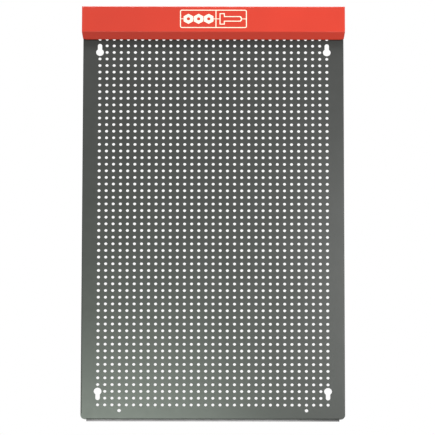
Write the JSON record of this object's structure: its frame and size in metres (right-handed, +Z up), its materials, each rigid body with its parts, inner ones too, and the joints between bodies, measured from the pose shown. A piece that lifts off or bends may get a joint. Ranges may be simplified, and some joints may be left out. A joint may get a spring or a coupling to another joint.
{
  "type": "pegboard tool wall panel",
  "caption": "A tall grey perforated steel tool panel with folded edges and corner keyholes, topped by a glossy red folded header cover with a cream printed badge.",
  "frame": {"origin": "On the wall plane, at mid-width and at mid-height of the header's rear lip, which bears on the wall.", "axes": "+X is the viewer's right, +Y points into the wall (the front faces -Y), +Z is up, along the panel's height."},
  "size_m": [0.557, 0.0338, 0.9277],
  "materials": {
    "panel_paint": "semi-gloss grey powder coat",
    "header_paint": "glossy red powder coat",
    "badge_print": "cream printed film",
    "rivet_metal": "bare aluminium"
  },
  "bodies": {
    "root": {"perforated_panel": "panel_paint", "header_cover": "header_paint", "header_end_left": "header_paint", "header_end_right": "header_paint", "header_badge": "badge_print", "face_rivet_1": "rivet_metal", "face_rivet_2": "rivet_metal", "face_rivet_3": "rivet_metal", "face_rivet_4": "rivet_metal", "face_rivet_5": "rivet_metal", "top_rivet_1": "rivet_metal", "top_rivet_2": "rivet_metal", "top_rivet_3": "rivet_metal", "top_rivet_4": "rivet_metal", "top_rivet_5": "rivet_metal", "end_face_rivet_left": "rivet_metal", "end_face_rivet_right": "rivet_metal", "end_top_rivet_left": "rivet_metal", "end_top_rivet_right": "rivet_metal"}
  },
  "joints": []
}
